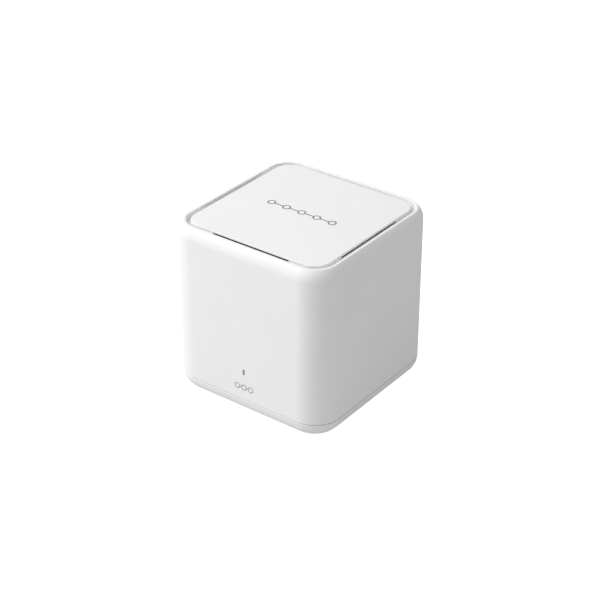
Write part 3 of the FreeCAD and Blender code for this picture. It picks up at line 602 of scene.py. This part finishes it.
class ROUTER_OT_shell(bpy.types.Operator):
    """Make the white shell with its lip, front slit and socket panel"""
    bl_idname = "router.shell"
    bl_label = "Shell"

    def execute(self, context):
        shape = context.scene.router_enclosure
        rear = context.scene.router_rear
        soft = shape.edge_soft
        centre = FACE - shape.top_round
        rise = math.sqrt(shape.top_round ** 2 - (shape.lip_outer - centre) ** 2)
        spring = TOP - rise
        end = math.asin(rise / shape.top_round)
        steps = 14
        crest = []
        for step in range(steps):
            angle = end * step / steps
            crest.append((centre + shape.top_round * math.cos(angle),
                          spring + shape.top_round * math.sin(angle), 0))
        floor = TOP - shape.groove_depth
        under = floor - shape.wall
        inside = HALF - shape.wall
        neck = HALF - 11 * MM
        section = [(FACE, SHELL_LOW.z, soft), *crest, (shape.lip_outer, TOP, soft),
                   (shape.lip_inner, TOP, soft * 1.6), (shape.lip_inner, floor, soft),
                   (neck, floor, 0), (neck, under, 0), (inside, under, 0),
                   (inside, SHELL_LOW.z, 0)]
        shell = swept_ring("shell_skin", section)
        slit = rounded_outline(1.2 * MM, 3.2 * MM, 0.55 * MM)
        back = HALF - rear.panel_depth
        panel = rounded_outline(rear.panel_width, rear.panel_height, rear.panel_radius)
        reach = HALF + MM
        cutters = [
            prism("slit", slit, (0, SLIT_HEIGHT), -reach, MM - inside),
            prism("panel", panel, (0, rear.panel_centre), back, reach),
        ]
        for side in ("left", "right"):
            low, high = corners(f"ethernet_cover_{side}")
            wide = high.x - low.x + 2 * rear.window_gap
            tall = high.z - low.z + 2 * rear.window_gap
            window = rounded_outline(wide, tall, rear.window_gap)
            cutters.append(prism("window", window, middle_of(low, high), inside - MM, reach))
        vent = rounded_outline(shape.vent_outer - shape.vent_inner, shape.vent_length, MM)
        vent_middle = (shape.vent_outer + shape.vent_inner) / 2
        for turn in range(4):
            slot = prism("vent", vent, (vent_middle, 0), under - MM, floor + 0.5 * MM, axis="z")
            slot.data.transform(Matrix.Rotation(math.pi / 2 * turn, 4, "Z"))
            cutters.append(slot)
        for middle, radius in ((POWER_AXIS, rear.collar + rear.window_gap),
                               (KEY_AXIS, rear.key_bore)):
            cutters.append(rod("hole", radius, middle, inside - MM, reach))
        cut_away(shell, cutters, edge=0.18 * MM)
        hand_over(shell, shell_paint(), "shell_plastic", "outer_shell")
        return {"FINISHED"}


class ROUTER_OT_base(bpy.types.Operator):
    """Make the base cover with its tongue, foot seats and air slots"""
    bl_idname = "router.base"
    bl_label = "Base cover"

    def execute(self, context):
        shape = context.scene.router_enclosure
        soft = shape.edge_soft
        bottom = BASE_LOW.z
        rim = SHELL_LOW.z - 0.3 * MM
        inside = HALF - shape.base_wall
        tongue = inside - shape.tongue_wall
        tongue_top = 11.5 * MM
        step = 6 * MM
        well = 38.5 * MM
        floor = bottom + shape.base_wall
        section = [(INMOST, bottom, 0), (FACE, bottom, shape.base_round), (FACE, rim, soft),
                   (inside, rim, 0), (inside, tongue_top, soft), (tongue, tongue_top, soft),
                   (tongue, step, 0), (well, step, 0), (well, floor, 0), (INMOST, floor, 0)]
        base = swept_ring("base_dish", section, closed=False)
        cutters = []
        slot = rounded_outline(26 * MM, 1.6 * MM, 0.72 * MM, 6)
        for side in (1, -1):
            for turn in range(4):
                place = side * (18.5 + 3.2 * turn) * MM
                cutters.append(prism("slot", slot, (0, place), 0, floor + MM, axis="z"))
        apart = (FEET_HIGH.x - FEET_LOW.x) / 2 - FOOT_RADIUS
        seat = FOOT_RADIUS + 0.1 * MM
        for x in (-apart, apart):
            for y in (-apart, apart):
                cutters.append(rod("seat", seat, (x, y), 0, FEET_HIGH.z, axis="z"))
        cut_away(base, cutters, edge=0.15 * MM)
        hand_over(base, shell_paint(), "base_plastic", "base_cover")
        return {"FINISHED"}


class ROUTER_OT_plate(bpy.types.Operator):
    """Make the sunk top plate with its corner skirts"""
    bl_idname = "router.plate"
    bl_label = "Top plate"

    def execute(self, context):
        shape = context.scene.router_enclosure
        top = PLATE_HIGH.z
        low = top - shape.plate_thickness
        ledge = TOP - shape.groove_depth
        slab = swept_ring("top_cap", [(INMOST, low, 0), (shape.plate_half, low, 0.12 * MM),
                                      (shape.plate_half, top, shape.plate_edge),
                                      (INMOST, top, 0)], closed=False)
        outer = shape.plate_half - 0.3 * MM
        inner = outer - 1.4 * MM
        into = low + 0.4 * MM
        skirt = swept_ring("skirt", [(outer, ledge, 0), (outer, into, 0), (inner, into, 0),
                                     (inner, ledge, 0)])
        reach = HALF
        half_gap = shape.vent_length / 2
        gaps = [block("gap", (-half_gap, -reach, ledge - MM), (half_gap, reach, low)),
                block("gap", (-reach, -half_gap, ledge - MM), (reach, half_gap, low))]
        cut_away(skirt, gaps)
        weld(slab, skirt)
        finish_edges(slab, 0.08 * MM, angle=50, segments=2)
        discard(skirt)
        finish = context.scene.router_finish
        paint = moulded("Moulded white plate", tuple(finish.plate), roughness=0.55)
        hand_over(slab, paint, "plate_plastic", "top_plate")
        return {"FINISHED"}


def linked_rings_tree():
    """A row of rings joined by short bars, printed flat."""
    tree, start, end = geometry_tree("Linked rings", (
        ("Count", "Int", 5), ("Pitch", "Float", 8 * MM), ("Radius", "Float", 2 * MM),
        ("Stroke", "Float", 0.6 * MM), ("Thickness", "Float", 0.01 * MM),
        ("Material", "Material", None)))

    def maths(operation, first, second):
        item = node(tree, "ShaderNodeMath", {"operation": operation})
        for socket, source in zip(item.inputs, (first, second)):
            if isinstance(source, bpy.types.NodeSocket):
                tree.links.new(source, socket)
            else:
                socket.default_value = source
        return item.outputs[0]

    def row(count):
        """Points along X, centred on the origin."""
        step = node(tree, "ShaderNodeCombineXYZ", X=start.outputs["Pitch"])
        spread = maths("MULTIPLY", maths("SUBTRACT", count, 1), start.outputs["Pitch"])
        first = node(tree, "ShaderNodeCombineXYZ", X=maths("MULTIPLY", spread, -0.5))
        line = node(tree, "GeometryNodeMeshLine", Count=count, Start_Location=first.outputs[0])
        tree.links.new(step.outputs[0], line.inputs["Offset"])
        return line.outputs[0]

    stroke = start.outputs["Stroke"]
    profile = node(tree, "GeometryNodeCurvePrimitiveQuadrilateral", Width=stroke,
                   Height=start.outputs["Thickness"])
    circle = node(tree, "GeometryNodeCurvePrimitiveCircle", Resolution=48,
                  Radius=start.outputs["Radius"])
    ring = node(tree, "GeometryNodeCurveToMesh", Curve=circle.outputs[0])
    tree.links.new(profile.outputs[0], ring.inputs["Profile Curve"])
    rings = node(tree, "GeometryNodeInstanceOnPoints", Points=row(start.outputs["Count"]))
    tree.links.new(ring.outputs[0], rings.inputs["Instance"])
    bar_length = maths("SUBTRACT", start.outputs["Pitch"],
                       maths("MULTIPLY", start.outputs["Radius"], 2))
    size = node(tree, "ShaderNodeCombineXYZ", X=maths("SUBTRACT", bar_length, stroke), Y=stroke,
                Z=start.outputs["Thickness"])
    bar = node(tree, "GeometryNodeMeshCube", Size=size.outputs[0])
    fewer = maths("SUBTRACT", start.outputs["Count"], 1)
    bars = node(tree, "GeometryNodeInstanceOnPoints", Points=row(fewer))
    tree.links.new(bar.outputs[0], bars.inputs["Instance"])
    both = node(tree, "GeometryNodeJoinGeometry")
    tree.links.new(rings.outputs[0], both.inputs[0])
    tree.links.new(bars.outputs[0], both.inputs[0])
    close_tree(tree, start, end, both.outputs[0])
    return tree


class ROUTER_OT_marks(bpy.types.Operator):
    """Print a plain row of linked rings on the top plate and on the front"""
    bl_idname = "router.marks"
    bl_label = "Printed marks"

    def execute(self, context):
        finish = context.scene.router_finish
        ink = moulded("Printed grey ink", tuple(finish.ink), roughness=0.5, grain=5200, depth=0.004,
                      mottle=0.06)
        tree = linked_rings_tree()
        film = 0.012 * MM
        top = grow("top_mark", tree, count=5, pitch=8.6 * MM, radius=1.7 * MM,
                   stroke=0.72 * MM, thickness=film, material=ink)
        top.data.transform(Matrix.Translation((0, 0, PLATE_HIGH.z + film * 0.4)))
        hand_over(top, ink, "plate_plastic")
        front = grow("front_mark", tree, count=3, pitch=3.8 * MM, radius=1.35 * MM,
                     stroke=0.4 * MM, thickness=film, material=ink)
        upright = Matrix.Rotation(math.radians(90), 4, "X")
        place = Matrix.Translation((0, film * 0.5 - HALF, 15.7 * MM))
        front.data.transform(place @ upright)
        hand_over(front, ink, "shell_plastic")
        return {"FINISHED"}


class ROUTER_OT_light(bpy.types.Operator):
    """Make the light guide that fills the front slit"""
    bl_idname = "router.light"
    bl_label = "Light guide"

    def execute(self, context):
        finish = context.scene.router_finish
        face = 0.12 * MM - HALF
        head = prism("light_window", rounded_outline(1.1 * MM, 3.1 * MM, 0.54 * MM),
                     (0, SLIT_HEIGHT), face, GUIDE_LOW.y + 2.5 * MM)
        bar = block("bar", (GUIDE_LOW.x, -HALF + 2 * MM, GUIDE_LOW.z), tuple(GUIDE_HIGH))
        weld(head, bar)
        finish_edges(head, 0.08 * MM)
        discard(bar)
        paint, tree, shader = material("Smoked light guide")
        point = object_point(tree)
        haze = node(tree, "ShaderNodeTexNoise", Vector=point, Scale=700.0)
        tone = tuple(finish.guide)
        base = ramp_between(tree, haze.outputs["Fac"], shade(tone, 0.85), shade(tone, 1.15))
        tree.links.new(base, shader.inputs["Base Color"])
        shader.inputs["Roughness"].default_value = 0.28
        shader.inputs["Subsurface Weight"].default_value = 0.2
        shader.inputs["Subsurface Scale"].default_value = 0.4 * MM
        hand_over(head, paint, "guide_acrylic", "light_guide")
        return {"FINISHED"}


def feet_tree():
    """The same turned foot at each corner of a square."""
    tree, start, end = geometry_tree("Feet", (
        ("Foot", "Object", None), ("Spacing", "Float", 60 * MM), ("Material", "Material", None)))
    places = node(tree, "GeometryNodeMeshGrid", Size_X=start.outputs["Spacing"],
                  Size_Y=start.outputs["Spacing"], Vertices_X=2, Vertices_Y=2)
    foot = node(tree, "GeometryNodeObjectInfo", Object=start.outputs["Foot"])
    feet = node(tree, "GeometryNodeInstanceOnPoints", Points=places.outputs[0])
    tree.links.new(foot.outputs["Geometry"], feet.inputs["Instance"])
    close_tree(tree, start, end, feet.outputs[0])
    return tree


class ROUTER_OT_feet(bpy.types.Operator):
    """Make the four rubber feet and the blank label under the base"""
    bl_idname = "router.feet"
    bl_label = "Feet and label"

    def execute(self, context):
        finish = context.scene.router_finish
        rubber = moulded("Soft grey rubber", tuple(finish.rubber), roughness=0.75, grain=1700,
                         depth=0.03, mottle=0.05)
        radius = FOOT_RADIUS
        top = FEET_HIGH.z
        ring = 3.6 * MM
        profile = [(0, 0.15 * MM), (ring - 0.5 * MM, 0.15 * MM), (ring - 0.3 * MM, 0),
                   (radius - 0.5 * MM, 0), (radius - 0.2 * MM, 0.08 * MM),
                   (radius - 0.05 * MM, 0.25 * MM), (radius, 0.45 * MM), (radius, top), (0, top)]
        foot = turned("foot", profile, (0, 0))
        # the turned shape lies along Y, and a foot stands along Z
        foot.data.transform(Matrix.Rotation(math.radians(90), 4, "X"))
        tidy_mesh(foot.data)
        spacing = FEET_HIGH.x - FEET_LOW.x - 2 * radius
        feet = grow("rubber_foot_pads", feet_tree(), foot=foot, spacing=spacing, material=rubber)
        discard(foot)
        hand_over(feet, rubber, "foot_rubber", "rubber_feet")

        wide = LABEL_HIGH.x - LABEL_LOW.x
        deep = LABEL_HIGH.y - LABEL_LOW.y
        label = prism("blank_label", rounded_outline(wide, deep, 1.2 * MM), (0, 0),
                      LABEL_LOW.z, LABEL_HIGH.z, axis="z")
        finish_edges(label, 0.04 * MM, segments=2)
        paint = moulded("Blank label film", tuple(finish.label), roughness=0.3, grain=3500,
                        depth=0.002, mottle=0.02)
        hand_over(label, paint, "label_film", "rating_label")
        return {"FINISHED"}


def wire_row_tree():
    """One bent wire repeated side by side."""
    tree, start, end = geometry_tree("Wire row", (
        ("Wire", "Object", None), ("Count", "Int", 8), ("Pitch", "Float", 1.02 * MM),
        ("Radius", "Float", 0.17 * MM), ("Bend", "Float", 0.7 * MM),
        ("Material", "Material", None)))
    path = node(tree, "GeometryNodeObjectInfo", Object=start.outputs["Wire"])
    bent = node(tree, "GeometryNodeFilletCurve", {"mode": "POLY"}, Count=5,
                Radius=start.outputs["Bend"], Limit_Radius=True)
    tree.links.new(path.outputs["Geometry"], bent.inputs["Curve"])
    profile = node(tree, "GeometryNodeCurvePrimitiveCircle", Resolution=10,
                   Radius=start.outputs["Radius"])
    tube = node(tree, "GeometryNodeCurveToMesh", Curve=bent.outputs[0], Fill_Caps=True)
    tree.links.new(profile.outputs[0], tube.inputs["Profile Curve"])
    step = node(tree, "ShaderNodeCombineXYZ", X=start.outputs["Pitch"])
    line = node(tree, "GeometryNodeMeshLine", Count=start.outputs["Count"])
    tree.links.new(step.outputs[0], line.inputs["Offset"])
    wires = node(tree, "GeometryNodeInstanceOnPoints", Points=line.outputs[0])
    tree.links.new(tube.outputs[0], wires.inputs["Instance"])
    close_tree(tree, start, end, wires.outputs[0])
    return tree


class ROUTER_OT_network(bpy.types.Operator):
    """Make the two shielded network sockets"""
    bl_idname = "router.network"
    bl_label = "Network sockets"

    def execute(self, context):
        rear = context.scene.router_rear
        wire_tree = wire_row_tree()
        for side in ("left", "right"):
            low, high = corners(f"ethernet_cover_{side}")
            self.cover(rear, side, low, high)
            self.insert(rear, side, low, high)
            self.wires(rear, side, low, high, wire_tree)
        return {"FINISHED"}

    def cover(self, rear, side, low, high):
        sheet = 0.25 * MM
        middle = middle_of(low, high)
        wide = high.x - low.x
        tall = high.z - low.z
        soft = 0.35 * MM
        cover = prism(f"network_cover_{side}", rounded_outline(wide, tall, soft), middle,
                      low.y, high.y)
        room = block("room", (low.x + sheet, low.y + sheet, low.z - MM),
                     (high.x - sheet, high.y - sheet, high.z - sheet))
        window_wide = rear.socket_width + 1.8 * MM
        window_low = BOARD_TOP + 0.6 * MM
        window_high = BOARD_TOP + 12.2 * MM
        window = prism("window", rounded_outline(window_wide, window_high - window_low, 0.3 * MM),
                       (middle[0], (window_low + window_high) / 2), high.y - MM, high.y + MM)
        cut_away(cover, [room, window], edge=0.06 * MM)
        hand_over(cover, tin(), "can_tin", f"ethernet_cover_{side}")

    def insert(self, rear, side, low, high):
        face = high.y - 0.3 * MM
        x = (low.x + high.x) / 2
        floor = SOCKET_FLOOR
        ceiling = floor + rear.socket_height
        back = high.y - rear.socket_depth
        gap = 0.3 * MM
        body = block(f"network_insert_{side}", (low.x + gap, low.y + gap, low.z),
                     (high.x - gap, face, high.z - gap))
        half = rear.socket_width / 2
        reach = high.y + MM
        cutters = [block("way", (x - half, back, floor), (x + half, reach, ceiling)),
                   block("latch", (x - 3.2 * MM, back, BOARD_TOP + 2.6 * MM),
                         (x + 3.2 * MM, reach, floor + MM)),
                   block("catch", (x - 1.9 * MM, back, BOARD_TOP + 1.2 * MM),
                         (x + 1.9 * MM, reach, floor))]
        for turn in range(8):
            place = x + (turn - 3.5) * rear.wire_pitch
            groove = 0.29 * MM
            cutters.append(block("groove", (place - groove, back - 1.2 * MM, floor + 3.9 * MM),
                                 (place + groove, face - 1.4 * MM, ceiling + 0.7 * MM)))
        cut_away(body, cutters, edge=0.1 * MM, segments=2)
        hand_over(body, insert_paint(), "insert_plastic", f"ethernet_insert_{side}")

    def wires(self, rear, side, low, high, tree):
        x = (low.x + high.x) / 2 - 3.5 * rear.wire_pitch
        face = high.y
        floor = SOCKET_FLOOR
        ceiling = floor + rear.socket_height
        points = [(x, face - 5.2 * MM, ceiling + 0.35 * MM), (x, face - 2.2 * MM, ceiling + 0.35 * MM),
                  (x, face - 2.6 * MM, ceiling - 0.35 * MM), (x, face - 10.9 * MM, floor + 4.75 * MM),
                  (x, face - 13.6 * MM, floor + 4.6 * MM)]
        curve = bpy.data.curves.new("wire", "CURVE")
        curve.dimensions = "3D"
        spline = curve.splines.new("POLY")
        spline.points.add(len(points) - 1)
        for place, point in zip(spline.points, points):
            place.co = (*point, 1)
        wire = link("wire", curve)
        wires = grow(f"network_wires_{side}", tree, wire=wire, count=8, pitch=rear.wire_pitch,
                     radius=rear.wire_radius, bend=0.8 * MM, material=gold())
        discard(wire)
        tidy_mesh(wires.data)
        hand_over(wires, gold(), "contact_gold", f"ethernet_contacts_{side}")


class ROUTER_OT_power(bpy.types.Operator):
    """Make the round power inlet"""
    bl_idname = "router.power"
    bl_label = "Power inlet"

    def execute(self, context):
        rear = context.scene.router_rear
        face = POWER_HIGH.y
        front = face - 1.2 * MM
        body = prism("power_inlet_body",
                     rounded_outline(POWER_HIGH.x - POWER_LOW.x, POWER_HIGH.z - POWER_LOW.z, 0.6 * MM),
                     middle_of(POWER_LOW, POWER_HIGH), POWER_LOW.y, front)
        steps = 14
        collar = rod("collar", rear.collar, POWER_AXIS, front - MM, face, steps)
        weld(body, collar)
        bore = rod("bore", rear.bore, POWER_AXIS, face - rear.bore_depth, face + MM, steps)
        cut_away(body, [bore], edge=0.25 * MM)
        discard(collar)
        hand_over(body, insert_paint(), "insert_plastic", "power_jack_body")

        radius = (PIN_HIGH.x - PIN_LOW.x) / 2
        tip = PIN_HIGH.y
        profile = [(0, PIN_LOW.y), (radius / 2, PIN_LOW.y), (radius / 2, face - rear.bore_depth),
                   (radius, face - rear.bore_depth), (radius, tip - radius)]
        dome_steps = 7
        for step in range(1, dome_steps + 1):
            angle = math.pi / 2 * step / dome_steps
            profile.append((radius * math.cos(angle), tip - radius + radius * math.sin(angle)))
        pin = turned("power_inlet_pin", profile, POWER_AXIS)
        finish_edges(pin)
        hand_over(pin, nickel(), "pin_nickel", "power_jack_pin")
        return {"FINISHED"}


class ROUTER_OT_key(bpy.types.Operator):
    """Make the sunk reset key"""
    bl_idname = "router.key"
    bl_label = "Reset key"

    def execute(self, context):
        finish = context.scene.router_finish
        paint = moulded("Grey moulded key", tuple(finish.key), roughness=0.4, mottle=0.03)
        radius = 1.7 * MM
        flange = (KEY_HIGH.z - KEY_LOW.z) / 2
        face = KEY_HIGH.y
        step = KEY_LOW.y + 0.8 * MM
        soft = 0.25 * MM
        profile = [(0, KEY_LOW.y), (flange, KEY_LOW.y), (flange, step), (radius, step),
                   (radius, face - soft), (radius - 0.07 * MM, face - 0.1 * MM),
                   (radius - soft, face), (radius * 0.72, face), (radius * 0.6, face - 0.12 * MM),
                   (radius * 0.3, face - 0.2 * MM), (0, face - 0.22 * MM)]
        key = turned("reset_cap", profile, KEY_AXIS)
        finish_edges(key, 0.03 * MM, segments=2)
        hand_over(key, paint, "key_plastic", "reset_button", body=KEY_BODY)
        self.dome()
        return {"FINISHED"}

    def dome(self):
        """The switch's snap dome under the key's stem; the mesh keeps the dome's rest shape, though
        the real dome flattens as the key is pressed.
        """
        low, high = corners("reset_switch_dome")
        wide = (high.x - low.x) / 2
        crown = wide / 2
        sheet = 0.1 * MM
        rise = high.y - low.y
        lip = wide - (wide - crown) * sheet / rise
        x, z = middle_of(low, high)
        dome = turned("switch_dome", [(0, high.y), (crown, high.y), (wide, low.y), (lip, low.y),
                                      (crown, high.y - sheet), (0, high.y - sheet)], (x, z))
        finish_edges(dome, 0.02 * MM, segments=2)
        hand_over(dome, nickel(), "pin_nickel", "reset_switch_dome")
        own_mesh(dome)


class ROUTER_OT_inside(bpy.types.Operator):
    """Paint the frame's own nodes: board, chips, cooling, antennas and fasteners"""
    bl_idname = "router.inside"
    bl_label = "Inside"

    def execute(self, context):
        paints = {
            "board_laminate": laminate("Green circuit board", (0.012, 0.09, 0.04), (0.03, 0.17, 0.07)),
            "antenna_laminate": laminate("Antenna board", (0.02, 0.13, 0.08), (0.35, 0.22, 0.1)),
            "chip_epoxy": moulded("Black chip compound", (0.02, 0.02, 0.022), roughness=0.55,
                                  depth=0.02),
            "can_tin": tin(),
            "screw_steel": metal("Zinc-plated screw", (0.55, 0.56, 0.58), roughness=0.32, grain=1600),
            "contact_gold": gold(),
            "pin_nickel": nickel(),
            "sink_aluminium": metal("Extruded aluminium", (0.72, 0.73, 0.74), roughness=0.36,
                                    stretch=(9, 1, 1)),
            "insert_plastic": insert_paint(),
            "pad_silicone": moulded("Silicone pad", (0.24, 0.3, 0.38), roughness=0.7, depth=0.03),
            "lamp_resin": moulded("Lamp resin", (0.75, 0.7, 0.4), roughness=0.2, coat=0.5),
            "frame_plastic": moulded("Pale grey frame", (0.42, 0.425, 0.43), roughness=0.5),
            "lead_jacket": moulded("Lead jacket", (0.02, 0.02, 0.022), roughness=0.35),
            "capacitor_sleeve": moulded("Capacitor sleeve", (0.03, 0.04, 0.08), roughness=0.3),
        }
        shown = {item.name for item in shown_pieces()}
        for part in frame["record"]["subparts"]:
            item = frame["nodes"][part["node"]]
            if item.name in shown and part["material_slot"] in paints:
                wear(item, paints[part["material_slot"]])
        return {"FINISHED"}


class ROUTER_OT_stage(bpy.types.Operator):
    """Lay the pale sheet and set the lights and the camera"""
    bl_idname = "router.stage"
    bl_label = "Stage"

    def execute(self, context):
        stage = context.scene.router_stage
        reach = 6.0
        sheet = link("pale_sheet", bpy.data.meshes.new("pale_sheet"))
        sheet.data.from_pydata([(-reach, -reach, 0), (reach, -reach, 0), (reach, reach, 0),
                                (-reach, reach, 0)], [], [(0, 1, 2, 3)])
        paint, tree, shader = material("Pale sheet")
        grain = node(tree, "ShaderNodeTexNoise", Vector=object_point(tree), Scale=9.0)
        base = ramp_between(tree, grain.outputs["Fac"], (0.41, 0.41, 0.41), (0.43, 0.43, 0.43))
        tree.links.new(base, shader.inputs["Base Color"])
        shader.inputs["Roughness"].default_value = 0.9
        shader.inputs["Emission Color"].default_value = (1, 1, 1, 1)
        glow = bright_to_camera(tree, stage.floor_glow)
        tree.links.new(glow, shader.inputs["Emission Strength"])
        wear(sheet, paint)
        sheet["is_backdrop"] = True

        world = bpy.data.worlds.new("Even light")
        world.use_nodes = True
        sky = world.node_tree.nodes["Background"]
        sky.inputs["Color"].default_value = (1, 1, 1, 1)
        glow = bright_to_camera(world.node_tree, stage.sky)
        world.node_tree.links.new(glow, sky.inputs["Strength"])
        context.scene.world = world

        aim = Vector((0, 0, 45 * MM))
        self.soft_box("key_light", (-0.78, -0.68, 0.92), aim, size=0.9, power=stage.key_power)
        self.soft_box("top_light", (-0.1, 0.1, 1.2), aim, size=1.1, power=stage.top_power)

        right = Vector((math.cos(stage.azimuth), math.sin(stage.azimuth), 0))
        level = math.cos(stage.elevation)
        back = Vector((math.sin(stage.azimuth) * level, -math.cos(stage.azimuth) * level,
                       math.sin(stage.elevation)))
        target = Vector((0, 0, stage.aim_height)) + right * stage.aim_across
        lens = bpy.data.cameras.new("camera")
        lens.lens = stage.lens
        lens.sensor_width = 36
        lens.clip_start = 0.05
        camera = link("camera", lens)
        camera.location = target + back * stage.distance
        camera.rotation_euler = back.to_track_quat("Z", "Y").to_euler()
        context.scene.camera = camera
        context.scene.view_settings.view_transform = "Standard"
        return {"FINISHED"}

    def soft_box(self, name, place, aim, size, power):
        lamp = bpy.data.lights.new(name, "AREA")
        lamp.shape = "SQUARE"
        lamp.size = size
        lamp.energy = power
        item = link(name, lamp)
        item.location = place
        item.rotation_euler = (Vector(place) - aim).to_track_quat("Z", "Y").to_euler()


class ROUTER_PT_panel(bpy.types.Panel):
    """Lists the router's sizes, finishes and pieces"""
    bl_idname = "ROUTER_PT_panel"
    bl_label = "Cube mesh router"
    bl_space_type = "VIEW_3D"
    bl_region_type = "UI"
    bl_category = "Router"

    def draw(self, context):
        layout = self.layout
        for group in ("router_enclosure", "router_rear", "router_finish", "router_stage"):
            values = getattr(context.scene, group)
            column = layout.box().column()
            for name in values.bl_rna.properties.keys():
                if name not in ("rna_type", "name"):
                    column.prop(values, name)
        for operator in OPERATORS:
            layout.operator(operator.bl_idname)


GROUPS = {"router_enclosure": RouterEnclosure, "router_rear": RouterRear,
          "router_finish": RouterFinish, "router_stage": RouterStage}
OPERATORS = (ROUTER_OT_shell, ROUTER_OT_base, ROUTER_OT_plate, ROUTER_OT_marks, ROUTER_OT_light,
             ROUTER_OT_feet, ROUTER_OT_network, ROUTER_OT_power, ROUTER_OT_key,
             ROUTER_OT_inside, ROUTER_OT_stage)


def register():
    for group in GROUPS.values():
        bpy.utils.register_class(group)
    for operator in OPERATORS:
        bpy.utils.register_class(operator)
    bpy.utils.register_class(ROUTER_PT_panel)
    for name, group in GROUPS.items():
        setattr(bpy.types.Scene, name, PointerProperty(type=group))


def unregister():
    for name in GROUPS:
        delattr(bpy.types.Scene, name)
    bpy.utils.unregister_class(ROUTER_PT_panel)
    for kind in (*reversed(OPERATORS), *reversed(GROUPS.values())):
        bpy.utils.unregister_class(kind)


def main():
    register()
    for step in ("shell", "base", "plate", "marks", "light", "feet", "network", "power", "key",
                 "inside", "stage"):
        getattr(bpy.ops.router, step)()


if __name__ == "__main__":
    main()
